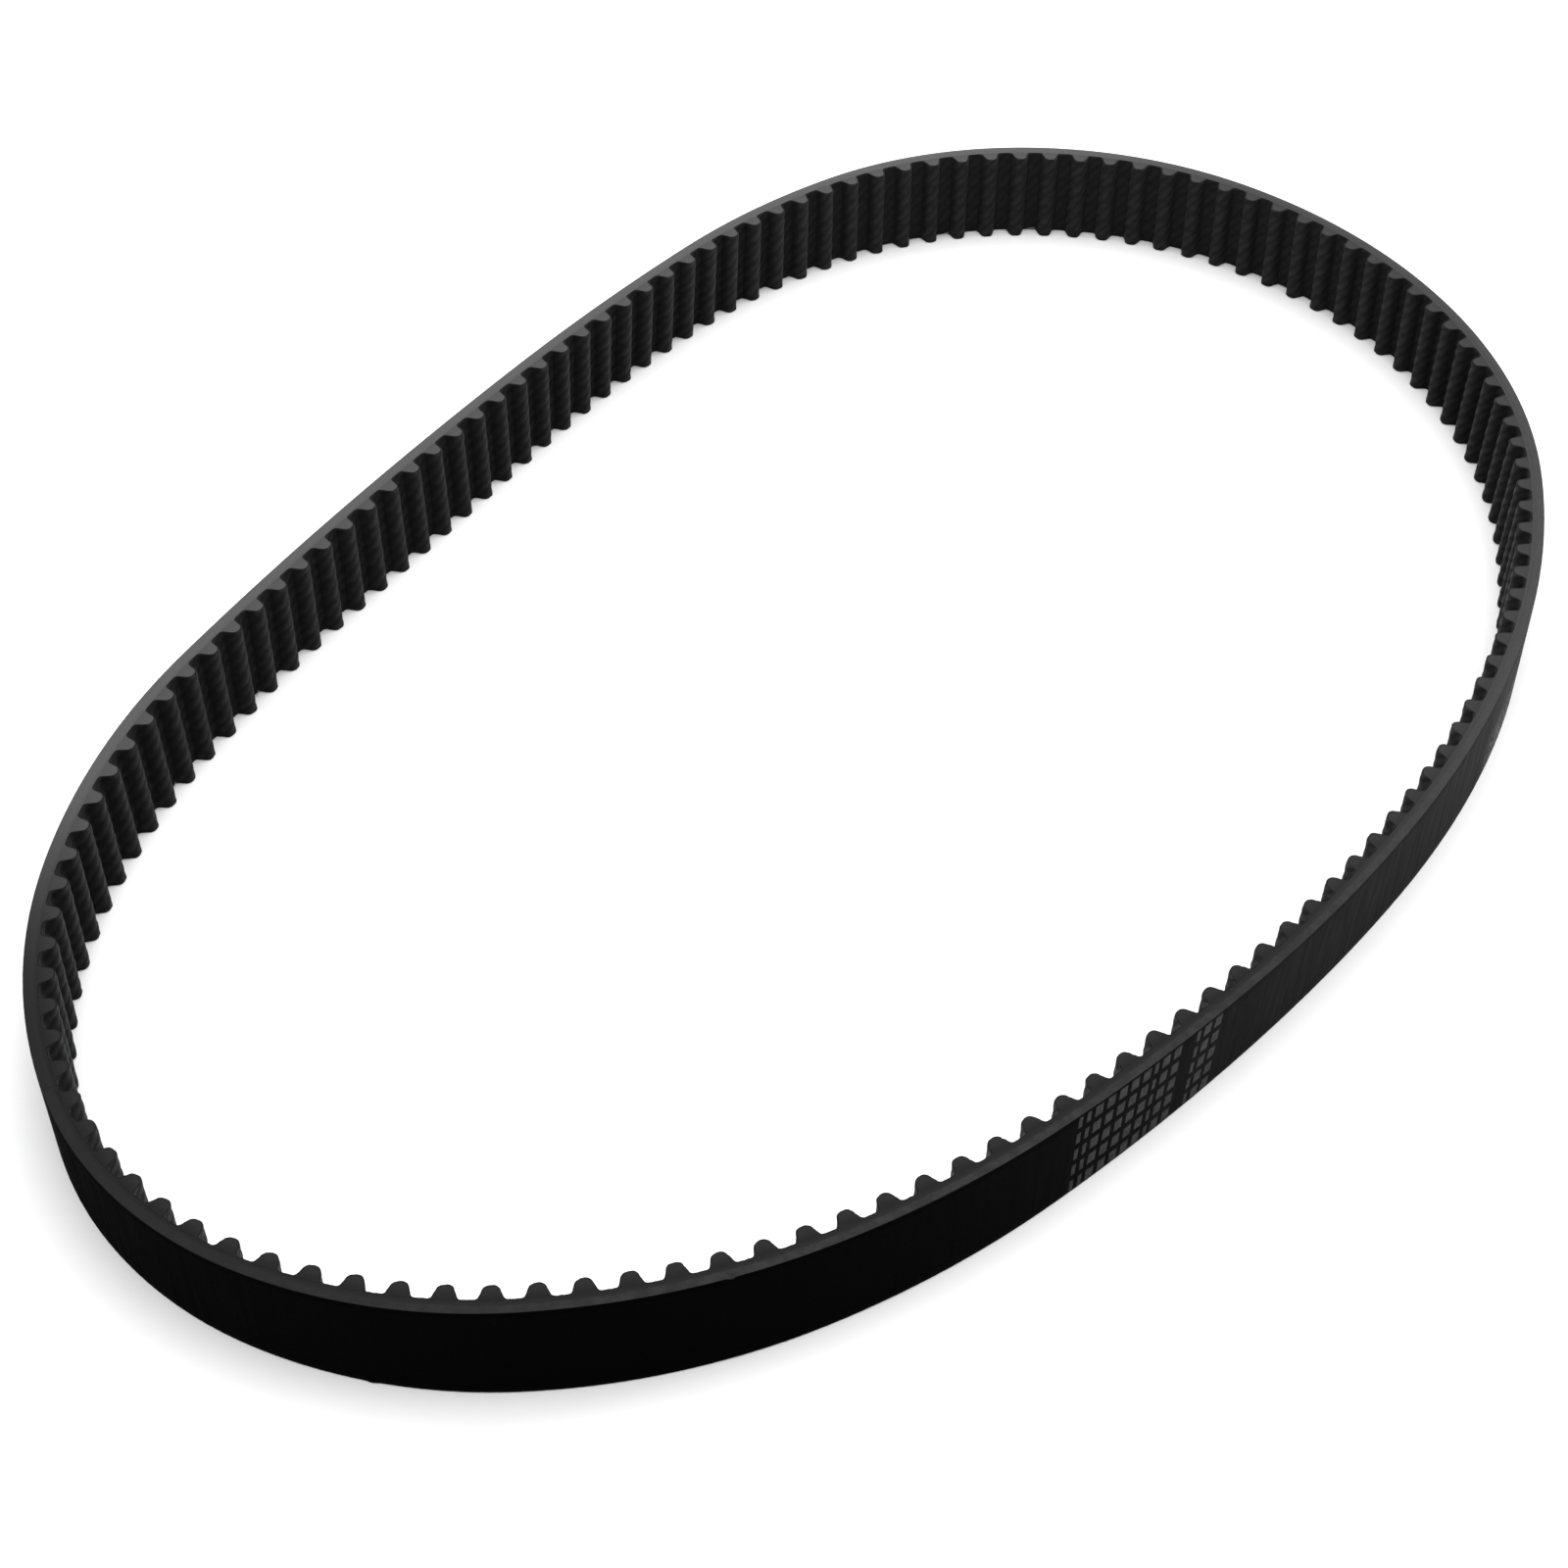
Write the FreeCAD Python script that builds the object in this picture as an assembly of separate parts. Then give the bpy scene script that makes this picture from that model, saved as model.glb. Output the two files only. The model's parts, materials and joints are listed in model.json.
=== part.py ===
import FreeCAD, Part
import math
import os

# An endless timing belt standing on one cut edge, in millimetres.
#
# Frame: +Z is across the belt's width, from the lower cut edge (z = 0) to the upper one. X runs along
# the loop's long direction, from the tight bend to the wide bend. The origin is under the middle of
# the loop's outline.
#
# The loop is followed anticlockwise, seen from above, along the pitch line, which is the centre line
# of the tensile cords. "Depth" is measured from the pitch line towards the inside of the loop, so the
# teeth have positive depths and the back has a negative one.
#
# A real belt bends everywhere. Here it is cut between two teeth at eight bend lines, and a hinge at
# each, on the pitch line, stands in for the bending near it.

# ---- Driving sizes ----
tooth_pitch = 8.0
belt_width = 23.0
belt_thickness = 6.0          # from the tip of a tooth to the back
tooth_height = 3.05           # from the land between teeth to the tip
tooth_flank_angle = 20.0      # degrees between a flank and the tooth's middle line
tooth_tip_radius = 1.6        # rounds the tip into the flanks
tooth_tip_flat = 0.12         # half the width of the flat on the tip
root_radius = 0.8             # rounds the flank into the land
facing_thickness = 0.3        # nylon facing on the toothed side
land_depth = 0.95             # pitch line to the surface of the land
back_depth = belt_thickness - tooth_height - land_depth

cord_diameter = 0.85
cord_hole_diameter = 1.0      # leaves room for the adhesive around a cord
cord_spacing = 1.2
cord_count = 18
cord_end_gap = 0.25           # a cord stops this far short of a bend line

bend_gap = 0.3                # width of the slit at a bend line, on the pitch line
bend_relief = 11.0            # degrees that each side of the slit slopes back from the pitch line

mark_thickness = 0.05         # printed marks on the back
mark_rows = 5
mark_row_height = 3.0
mark_row_spacing = 4.7
mark_gap = 1.1
mark_lengths = [1.0, 1.0, 2.0, 2.0, 2.0, 2.0, 2.0, 1.0, 2.0, 2.0]
mark_tail_lengths = [1.0, 2.0, 2.0]
mark_tail_gap = 3.2
first_mark_tooth = 0.5        # where a row starts, in teeth from the start of its stretch

# ---- The loop: nine stretches of whole teeth ----
# Each stretch is a list of arcs, and each arc is (teeth, bend in degrees per tooth). The bends are
# close guesses: close_the_loop trims them all by a little.
stretches = [
    ("tight_bend", [(7, 6.0)]),
    ("near_side_1", [(6, 4.7), (7, 3.1), (6, 2.2)]),
    ("near_side_2", [(7, 1.0), (7, 1.2)]),
    ("near_side_3", [(7, 1.7), (8, 2.2)]),
    ("wide_bend", [(6, 3.6), (5, 3.6), (6, 3.8)]),
    ("far_side_1", [(7, 4.8), (7, 4.9), (6, 2.7)]),
    ("far_side_2", [(8, 0.7), (8, 0.4)]),
    ("far_side_3", [(7, 0.5), (8, 3.0)]),
    ("tight_bend_end", [(7, 4.0)]),
]
marked_stretch = "near_side_2"
start_heading = -107.0        # degrees, so that the loop's long direction lies along X


def chord(teeth, bend, heading):
    """Step from one end of an arc of the pitch line to the other."""
    sweep = math.radians(bend) * teeth
    radius = teeth * tooth_pitch / sweep
    length = 2 * radius * math.sin(sweep / 2)
    middle = heading + sweep / 2
    return length * math.cos(middle), length * math.sin(middle), sweep


def closure_errors(bends):
    """What must be zero for the loop to close, at rest and at every angle of its hinges.

    The loop must turn once and come back to its start. The hinges turn near_side_1 and far_side_1 one
    way and near_side_3 and far_side_3 the other way, so the chords of each of those pairs must be
    equal and opposite.
    """
    heading = 0.0
    x = 0.0
    y = 0.0
    steps = []
    index = 0
    for name, arcs in stretches:
        start = (x, y)
        for teeth, guess in arcs:
            dx, dy, sweep = chord(teeth, bends[index], heading)
            x += dx
            y += dy
            heading += sweep
            index += 1
        steps.append((x - start[0], y - start[1]))
    return [
        100 * (heading - 2 * math.pi),
        x,
        y,
        steps[1][0] + steps[5][0],
        steps[1][1] + steps[5][1],
        steps[3][0] + steps[7][0],
        steps[3][1] + steps[7][1],
    ]


def solve(matrix, right):
    """Gaussian elimination with pivoting."""
    size = len(right)
    rows = [list(matrix[i]) + [right[i]] for i in range(size)]
    for column in range(size):
        best = max(range(column, size), key=lambda r: abs(rows[r][column]))
        rows[column], rows[best] = rows[best], rows[column]
        for other in range(size):
            if other == column:
                continue
            factor = rows[other][column] / rows[column][column]
            rows[other] = [a - factor * b for a, b in zip(rows[other], rows[column])]
    return [rows[i][size] / rows[i][i] for i in range(size)]


def close_the_loop():
    """Trim the arcs' bends by the least change that makes closure_errors zero."""
    bends = [bend for name, arcs in stretches for teeth, bend in arcs]
    nudge = 1e-5
    for step in range(8):
        errors = closure_errors(bends)
        slopes = []
        for i in range(len(bends)):
            moved = list(bends)
            moved[i] += nudge
            slopes.append([(a - b) / nudge for a, b in zip(closure_errors(moved), errors)])
        count = len(errors)
        square = [[sum(s[i] * s[j] for s in slopes) for j in range(count)] for i in range(count)]
        weights = solve(square, errors)
        for i in range(len(bends)):
            bends[i] -= sum(slopes[i][j] * weights[j] for j in range(count))
    return bends


class Arc:
    """One arc of the pitch line. Angles are in radians, from the arc's start."""

    def __init__(self, teeth, bend, x, y, heading):
        self.teeth = teeth
        self.bend = math.radians(bend)
        self.sweep = self.bend * teeth
        self.radius = tooth_pitch / self.bend
        self.heading = heading
        self.centre_x = x - self.radius * math.sin(heading)
        self.centre_y = y + self.radius * math.cos(heading)

    def at(self, angle, depth):
        """The point at an angle along the arc, at a depth inside the pitch line."""
        reach = self.radius - depth
        heading = self.heading + angle
        x = self.centre_x + reach * math.sin(heading)
        y = self.centre_y - reach * math.cos(heading)
        return FreeCAD.Vector(x, y, 0)

    def beside(self, angle, along, depth):
        """The point a straight distance along the belt from the pitch point at an angle, at a depth."""
        start = self.at(angle, depth)
        heading = self.heading + angle
        return start + FreeCAD.Vector(math.cos(heading), math.sin(heading), 0) * along


def lay_out(bends):
    """Every stretch as (name, its arcs), centred on the origin."""
    heading = math.radians(start_heading)
    x = 0.0
    y = 0.0
    plan = []
    index = 0
    for name, arcs in stretches:
        placed = []
        for teeth, guess in arcs:
            placed.append(Arc(teeth, bends[index], x, y, heading))
            dx, dy, sweep = chord(teeth, bends[index], heading)
            x += dx
            y += dy
            heading += sweep
            index += 1
        plan.append((name, placed))
    centre_on_origin(plan)
    return plan


def centre_on_origin(plan):
    """Move the arcs so that the outline of the back is centred on the origin."""
    arcs = [arc for name, placed in plan for arc in placed]
    xs = []
    ys = []
    for arc in arcs:
        angles = [0.0, arc.sweep]
        for quarter in range(-4, 8):
            angle = quarter * math.pi / 2 - arc.heading
            if 0 < angle < arc.sweep:
                angles.append(angle)
        for angle in angles:
            point = arc.at(angle, -back_depth)
            xs.append(point.x)
            ys.append(point.y)
    middle_x = (min(xs) + max(xs)) / 2
    middle_y = (min(ys) + max(ys)) / 2
    for arc in arcs:
        arc.centre_x -= middle_x
        arc.centre_y -= middle_y


def along_arc(arc, start, end, depth):
    """An edge that follows the belt at one depth."""
    middle = (start + end) / 2
    return Part.Arc(arc.at(start, depth), arc.at(middle, depth), arc.at(end, depth)).toShape()


def line(a, b):
    return Part.LineSegment(a, b).toShape()


def raise_outline(edges, height=belt_width, bottom=0.0):
    """Make a solid from a closed plan outline."""
    face = Part.Face(Part.Wire(Part.__sortEdges__(edges)))
    solid = face.extrude(FreeCAD.Vector(0, 0, height))
    solid.translate(FreeCAD.Vector(0, 0, bottom))
    return solid


def between(first, second):
    """The unit vector half-way between two unit vectors."""
    aside = first[0] + second[0]
    depth = first[1] + second[1]
    length = math.hypot(aside, depth)
    return aside / length, depth / length


def flank_normal():
    """Which way a tooth's flank faces: (aside, depth)."""
    slope = math.radians(tooth_flank_angle)
    return math.cos(slope), math.sin(slope)


def tip_centre():
    """Where the rounding of the tip is centred: (distance from the tooth's middle, depth)."""
    return tooth_tip_flat, land_depth + tooth_height - tooth_tip_radius


def root_centre(arc):
    """Where the rounding beside the tooth is centred: (distance from the tooth's middle, depth)."""
    across, up = flank_normal()
    tip_aside, tip_depth = tip_centre()
    reach = arc.radius - land_depth - root_radius
    aside = tooth_pitch / 3
    depth = land_depth + root_radius
    for step in range(20):
        depth = arc.radius - math.sqrt(reach * reach - aside * aside)
        aside = tip_aside + (tooth_tip_radius + root_radius - (depth - tip_depth) * up) / across
    return aside, depth


def root_middle(arc):
    """Tilt of the root rounding's foot, and the direction from its centre to its own middle."""
    across, up = flank_normal()
    tilt = math.asin(root_centre(arc)[0] / (arc.radius - land_depth - root_radius))
    return tilt, between((-across, -up), (math.sin(tilt), -math.cos(tilt)))


def tip_points(arc, middle, side, radius):
    """Ends and middle of the rounding of the tip, for the facing or the rubber under it."""
    normal = flank_normal()
    aside, depth = tip_centre()
    points = []
    for way in (normal, between(normal, (0, 1)), (0, 1)):
        points.append(arc.beside(middle, side * (aside + radius * way[0]), depth + radius * way[1]))
    return points


def tooth_surface(arc, middle):
    """The facing's outer surface over one tooth: (angle of a foot, edges)."""
    across, up = flank_normal()
    aside, depth = root_centre(arc)
    tilt, way = root_middle(arc)
    edges = []
    tops = []
    for side in (-1, 1):
        foot = arc.at(middle + side * tilt, land_depth)
        root = arc.beside(middle, side * (aside + root_radius * way[0]), depth + root_radius * way[1])
        low = arc.beside(middle, side * (aside - root_radius * across), depth - root_radius * up)
        high, corner, top = tip_points(arc, middle, side, tooth_tip_radius)
        edges.append(Part.Arc(foot, root, low).toShape())
        edges.append(line(low, high))
        edges.append(Part.Arc(high, corner, top).toShape())
        tops.append(top)
    edges.append(line(tops[0], tops[1]))
    return tilt, edges


def core_foot(arc):
    """The chamfer at the foot of the rubber under the facing: (angle on the arc, its upper corner)."""
    across, up = flank_normal()
    aside, depth = root_centre(arc)
    tip_aside, tip_depth = tip_centre()
    tilt, way = root_middle(arc)
    under = root_radius + facing_thickness
    u = aside + under * way[0]
    d = depth + under * way[1]
    along_u, along_d = -way[1], way[0]
    gap = tooth_tip_radius - facing_thickness - (u - tip_aside) * across - (d - tip_depth) * up
    back = gap / (along_u * across + along_d * up)
    corner = (u + back * along_u, d + back * along_d)
    base = arc.radius - land_depth + facing_thickness
    height = arc.radius - d
    half = u * along_u - height * along_d
    run = math.sqrt(half * half - (u * u + height * height - base * base)) - half
    return math.atan2(u + run * along_u, height - run * along_d), corner


def core_points(arc, middle, side):
    """Corners of the rubber under the facing on one side of a tooth, and their angle on the arc."""
    foot_angle, corner = core_foot(arc)
    foot = arc.at(middle + side * foot_angle, land_depth - facing_thickness)
    low = arc.beside(middle, side * corner[0], corner[1])
    high, bend, top = tip_points(arc, middle, side, tooth_tip_radius - facing_thickness)
    return foot_angle, (foot, low, high, bend, top)


def core_edges(arc, middle):
    """The surface between a tooth's rubber and its facing: (angle of a foot, edges)."""
    foot_angle, left = core_points(arc, middle, -1)
    foot_angle, right = core_points(arc, middle, 1)
    edges = [line(left[4], right[4])]
    for foot, low, high, corner, top in (left, right):
        edges.append(line(foot, low))
        edges.append(line(low, high))
        edges.append(Part.Arc(high, corner, top).toShape())
    return foot_angle, edges


def tooth_middles(arc):
    return [(i + 0.5) * arc.bend for i in range(arc.teeth)]


def end_faces(arcs, outer_depth, inner_depth):
    """The two straight edges that close a stretch's outline."""
    first = arcs[0]
    last = arcs[-1]
    return [
        line(first.at(0, outer_depth), first.at(0, inner_depth)),
        line(last.at(last.sweep, outer_depth), last.at(last.sweep, inner_depth)),
    ]


def cord_heights():
    margin = (belt_width - (cord_count - 1) * cord_spacing) / 2
    return [margin + i * cord_spacing for i in range(cord_count)]


def strands(arcs, diameter, end_gap=0.0):
    """Round strands along a stretch's pitch line, one at each cord's height, short of each end by a gap."""
    up = FreeCAD.Vector(0, 0, 1)
    solids = []
    for height in cord_heights():
        strand = None
        for arc in arcs:
            first = end_gap / arc.radius if arc is arcs[0] else 0.0
            last = arc.sweep - (end_gap / arc.radius if arc is arcs[-1] else 0.0)
            heading = arc.heading + first
            start = arc.at(first, 0) + up * height
            way = FreeCAD.Vector(math.cos(heading), math.sin(heading), 0)
            disc = Part.Face(Part.Wire(Part.makeCircle(diameter / 2, start, way)))
            centre = FreeCAD.Vector(arc.centre_x, arc.centre_y, 0)
            piece = disc.revolve(centre, up, math.degrees(last - first))
            strand = piece if strand is None else strand.fuse(piece)
        solids.append(strand)
    return solids


def bend_slit(arc, angle, relief):
    """The slit between two stretches: narrow at the pitch line and wider towards both surfaces."""
    reach = belt_thickness
    narrow = bend_gap / 2
    wide = narrow + reach * math.tan(math.radians(relief))
    corners = [
        arc.beside(angle, narrow, 0),
        arc.beside(angle, wide, reach),
        arc.beside(angle, -wide, reach),
        arc.beside(angle, -narrow, 0),
        arc.beside(angle, -wide, -reach),
        arc.beside(angle, wide, -reach),
    ]
    edges = [line(corners[i], corners[(i + 1) % 6]) for i in range(6)]
    return raise_outline(edges, belt_width + 2, -1)


def slits_of(plan, index):
    """The slits at both ends of a stretch. The joint in the tight bend never moves, so it isn't relieved."""
    arcs = plan[index][1]
    before = 0.0 if index == 0 else bend_relief
    after = 0.0 if index == len(plan) - 1 else bend_relief
    return [bend_slit(arcs[0], 0, before), bend_slit(arcs[-1], arcs[-1].sweep, after)]


def make_backing(arcs, slits):
    """Backing rubber: from the back, around the cords, to the facing on the lands."""
    inner = land_depth - facing_thickness
    edges = end_faces(arcs, -back_depth, inner)
    for arc in arcs:
        edges.append(along_arc(arc, 0, arc.sweep, -back_depth))
        edges.append(along_arc(arc, 0, arc.sweep, inner))
    return raise_outline(edges).cut(strands(arcs, cord_hole_diameter) + slits)


def make_cords(arcs):
    """Tensile cords: neighbouring turns of one long glass-fibre cord."""
    cords = strands(arcs, cord_diameter, cord_end_gap)
    return Part.makeCompound([solid for cord in cords for solid in cord.Solids])


def make_teeth(arcs):
    """The rubber core of each tooth, one bar across the belt for each."""
    bars = []
    for arc in arcs:
        for middle in tooth_middles(arc):
            foot_angle, edges = core_edges(arc, middle)
            inner = land_depth - facing_thickness
            edges.append(along_arc(arc, middle - foot_angle, middle + foot_angle, inner))
            bars.append(raise_outline(edges))
    return Part.makeCompound(bars)


def make_facing(arcs, slits):
    """Nylon facing: one sheet over every tooth and land of a stretch."""
    inner = land_depth - facing_thickness
    edges = end_faces(arcs, land_depth, inner)
    for arc in arcs:
        surface_start = 0.0
        core_start = 0.0
        for middle in tooth_middles(arc):
            tilt, surface = tooth_surface(arc, middle)
            foot_angle, core = core_edges(arc, middle)
            edges.append(along_arc(arc, surface_start, middle - tilt, land_depth))
            edges.append(along_arc(arc, core_start, middle - foot_angle, inner))
            edges.extend(surface)
            edges.extend(core)
            surface_start = middle + tilt
            core_start = middle + foot_angle
        edges.append(along_arc(arc, surface_start, arc.sweep, land_depth))
        edges.append(along_arc(arc, core_start, arc.sweep, inner))
    return raise_outline(edges).cut(slits)


def make_marks(arcs):
    """Plain printed bars on the back, in rows along the belt."""
    rows_height = (mark_rows - 1) * mark_row_spacing + mark_row_height
    lowest = (belt_width - rows_height) / 2
    bars = []
    for row in range(mark_rows):
        bottom = lowest + row * mark_row_spacing
        place = first_mark_tooth * tooth_pitch
        for i, length in enumerate(mark_lengths + mark_tail_lengths):
            if i == len(mark_lengths):
                place += mark_tail_gap
            bars.append(make_bar(arcs[0], place, length, bottom))
            place += length + mark_gap
    return Part.makeCompound(bars)


def make_bar(arc, place, length, bottom):
    """One printed bar, starting a distance along the arc."""
    start = place / arc.radius
    end = (place + length) / arc.radius
    outside = -back_depth - mark_thickness
    edges = [
        along_arc(arc, start, end, -back_depth),
        along_arc(arc, start, end, outside),
        line(arc.at(start, -back_depth), arc.at(start, outside)),
        line(arc.at(end, -back_depth), arc.at(end, outside)),
    ]
    return raise_outline(edges, mark_row_height, bottom)


def write(shape, node):
    shape.exportStep(os.path.join("parts", node + ".step"))


def main():
    os.makedirs("parts", exist_ok=True)
    plan = lay_out(close_the_loop())
    for index, (name, arcs) in enumerate(plan):
        slits = slits_of(plan, index)
        write(make_backing(arcs, slits), "backing_" + name)
        write(make_cords(arcs), "cords_" + name)
        write(make_teeth(arcs), "teeth_" + name)
        write(make_facing(arcs, slits), "facing_" + name)
        if name == marked_stretch:
            write(make_marks(arcs), "print_marks")


main()
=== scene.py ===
import json
import math

import bmesh
import bpy
import numpy as np
from mathutils import Matrix, Vector


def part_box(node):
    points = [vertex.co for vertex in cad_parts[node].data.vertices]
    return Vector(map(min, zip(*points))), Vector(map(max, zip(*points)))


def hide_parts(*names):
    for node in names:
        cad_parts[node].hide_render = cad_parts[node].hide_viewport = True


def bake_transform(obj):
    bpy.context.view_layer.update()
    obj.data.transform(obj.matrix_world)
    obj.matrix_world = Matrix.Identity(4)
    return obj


# The belt is drawn as eight spans, one over each hinge. A span runs from the middle of one CAD stretch
# to the middle of the next and bends smoothly round the hinge between them, so the belt stays whole. The
# first span begins, and the last one ends, at the cut in the tight bend.
#
# Lengths are in millimetres until a mesh is made. "s" is the distance along the pitch line in teeth,
# from the cut in the tight bend. "depth" is measured from the pitch line towards the inside.

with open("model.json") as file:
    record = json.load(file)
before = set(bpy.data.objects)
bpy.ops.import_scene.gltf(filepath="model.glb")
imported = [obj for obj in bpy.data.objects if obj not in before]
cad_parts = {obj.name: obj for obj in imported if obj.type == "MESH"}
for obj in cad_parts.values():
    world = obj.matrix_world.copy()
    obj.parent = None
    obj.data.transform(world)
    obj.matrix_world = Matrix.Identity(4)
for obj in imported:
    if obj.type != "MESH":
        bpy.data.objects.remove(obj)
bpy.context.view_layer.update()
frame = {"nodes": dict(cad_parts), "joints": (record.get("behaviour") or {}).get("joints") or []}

MM = 0.001
TURN = 2 * math.pi
NODES = frame["nodes"]

STRETCHES = ["tight_bend", "near_side_1", "near_side_2", "near_side_3", "wide_bend",
             "far_side_1", "far_side_2", "far_side_3", "tight_bend_end"]
PITCH = 8.0
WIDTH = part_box("teeth_tight_bend")[1].z / MM
BACK = -2.0                    # depth of the smooth back
FACING = 0.3                   # thickness of the cloth
LAND = 0.95                    # depth of the cloth between teeth
INNER = LAND - FACING          # depth of the backing's inner face
TIP = 4.0                      # depth of a tooth's tip
SLOPE = math.radians(20.0)     # between a flank and the tooth's middle line
ROOT = 0.8                     # radius beside the tooth
CORNER = 1.6                   # radius of the tip
FLAT = 0.12                    # half the flat on the tip
ACROSS, UP = math.cos(SLOPE), math.sin(SLOPE)
FOOT = FLAT + (CORNER + ROOT + (TIP - CORNER - LAND - ROOT) * UP) / ACROSS
SEAM = 0.03                    # the first and last spans stop this far short of the cut

random = np.random.default_rng(11)


# ---- The belt's path, read from the CAD teeth ----

SAME_POINT = 1e-6              # in metres
ON_FLOOR = 0.01                # highest point that counts as on the lower edge
CORE_FOOT = 0.02               # how far a tooth core's foot stands off the backing


def islands(node):
    """The separate solids of a CAD node, each as an array of its corners in millimetres."""
    bm = bmesh.new()
    bm.from_mesh(NODES[node].data)
    bmesh.ops.remove_doubles(bm, verts=bm.verts, dist=SAME_POINT)
    bm.verts.ensure_lookup_table()
    bm.verts.index_update()
    seen = set()
    found = []
    for start in bm.verts:
        if start.index in seen:
            continue
        seen.add(start.index)
        stack = [start]
        points = []
        while stack:
            vert = stack.pop()
            points.append(tuple(vert.co))
            for edge in vert.link_edges:
                other = edge.other_vert(vert)
                if other.index not in seen:
                    seen.add(other.index)
                    stack.append(other)
        found.append(np.array(points) / MM)
    bm.free()
    return found


def tooth_frame(points):
    """Pitch-line point under a tooth's middle, and the heading there."""
    low = points[points[:, 2] < ON_FLOOR][:, :2]
    gaps = np.linalg.norm(low[:, None] - low[None], axis=2)
    a, b = np.unravel_index(np.argmax(gaps), gaps.shape)
    middle = (low[a] + low[b]) / 2
    way = (low[b] - low[a]) / gaps[a, b]
    inward = np.array([-way[1], way[0]])
    if (low.mean(0) - middle) @ inward < 0:
        inward = -inward
        way = -way
    return middle - inward * (INNER + CORE_FOOT), math.atan2(way[1], way[0])


def read_path():
    """Every tooth's pitch point and heading in order, and where each stretch starts."""
    pivots = [np.array(joint["pos_m"][:2]) / MM for joint in frame["joints"]]
    points = []
    headings = []
    starts = []
    for index, name in enumerate(STRETCHES):
        teeth = [tooth_frame(p) for p in islands("teeth_" + name)]
        centre = np.mean([t[0] for t in teeth], axis=0)
        before = pivots[index - 1] if index else centre
        after = pivots[index] if index < len(pivots) else centre
        teeth.sort(key=lambda t: (t[0] - centre) @ (after - before))
        starts.append(len(points))
        for point, heading in teeth:
            points.append(point)
            headings.append(heading)
    starts.append(len(points))
    return np.array(points), np.unwrap(np.array(headings)), starts


POINTS, HEADINGS, STARTS = read_path()
TEETH = len(POINTS)
PATH = np.vstack([POINTS[-1:], POINTS, POINTS[:1]])
COURSE = np.concatenate([HEADINGS[-1:] - TURN, HEADINGS, HEADINGS[:1] + TURN])


def span(first, last):
    """Both ends of a span in teeth, drawn back from the seam in the tight bend."""
    return max(first, SEAM / PITCH), min(last, TEETH - SEAM / PITCH)


def ways(heading):
    """Unit vectors along the belt and towards its inside."""
    along = np.stack([np.cos(heading), np.sin(heading)], -1)
    inward = np.stack([-np.sin(heading), np.cos(heading)], -1)
    return along, inward


def on_pitch_line(s):
    """Points of the pitch line and headings there."""
    at = np.asarray(s, float) + 0.5
    index = np.clip(np.floor(at).astype(int), 0, TEETH)
    t = (at - index)[..., None]
    start = PATH[index]
    end = PATH[index + 1]
    leave = ways(COURSE[index])[0] * PITCH
    arrive = ways(COURSE[index + 1])[0] * PITCH
    point = ((2 * t**3 - 3 * t**2 + 1) * start + (t**3 - 2 * t**2 + t) * leave
             + (3 * t**2 - 2 * t**3) * end + (t**3 - t**2) * arrive)
    heading = COURSE[index] * (1 - t[..., 0]) + COURSE[index + 1] * t[..., 0]
    return point, heading


def place(s, depth):
    """Plan points at a depth from the pitch line."""
    point, heading = on_pitch_line(s)
    return point + ways(heading)[1] * np.asarray(depth, float)[..., None]


# How far the wall leans inwards at its upper edge: (waves round the loop, cosine part, sine part).
LEAN = [(0, -0.113, 0.0), (1, -0.054, -0.198), (2, -0.009, 0.205)]

# Turning points of the lower edge's own waves: (teeth from the seam, millimetres outwards).
FOOT_WAVES = [(4.0, -0.75), (16.0, 0.65), (33.5, -0.65), (46.5, 1.0), (59.0, -0.4), (68.5, 0.45),
              (82.5, -1.05), (94.5, 1.05), (105.0, -0.7), (111.5, 0.1), (117.0, -0.95), (126.0, 0.2)]


def foot_wave(s):
    """How far outwards the lower edge stands at places along the belt."""
    before = (FOOT_WAVES[-1][0] - TEETH, FOOT_WAVES[-1][1])
    after = (FOOT_WAVES[0][0] + TEETH, FOOT_WAVES[0][1])
    at, out = np.array([before] + FOOT_WAVES + [after]).T
    s = np.mod(s, TEETH)
    k = np.clip(np.searchsorted(at, s, side="right") - 1, 0, len(at) - 2)
    f = (s - at[k]) / (at[k + 1] - at[k])
    return out[k] + (out[k + 1] - out[k]) * f * f * (3 - 2 * f)


def stand(plan, z, s):
    """Points of the wall above plan points, at heights z."""
    z = np.broadcast_to(np.asarray(z, float), plan.shape[:-1])
    s = np.broadcast_to(np.asarray(s, float), z.shape)
    angle = TURN * s / TEETH
    top = sum(c * np.cos(k * angle) + d * np.sin(k * angle) for k, c, d in LEAN)
    inward = ways(on_pitch_line(s)[1])[1]
    shift = top * (2 * z / WIDTH - 1) - foot_wave(s) * (1 - z / WIDTH)
    leaned = plan + inward * shift[..., None]
    return np.concatenate([leaned, z[..., None]], -1)


def waves(x, period, counts, seed):
    """A smooth random function of x that repeats after period, between about -1 and 1."""
    draw = np.random.default_rng(seed)
    total = np.zeros_like(np.asarray(x, float))
    for count in counts:
        total = total + np.sin(TURN * (count * x / period + draw.random())) * draw.uniform(0.5, 1.0)
    mean_size = 0.75
    spread = 1.4
    return total / max(1.0, mean_size * math.sqrt(len(counts)) * spread)


# ---- The toothed side ----

LAND_STEPS, ROOT_STEPS, FLANK_STEPS, CORNER_STEPS = 3, 5, 5, 6


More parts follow.
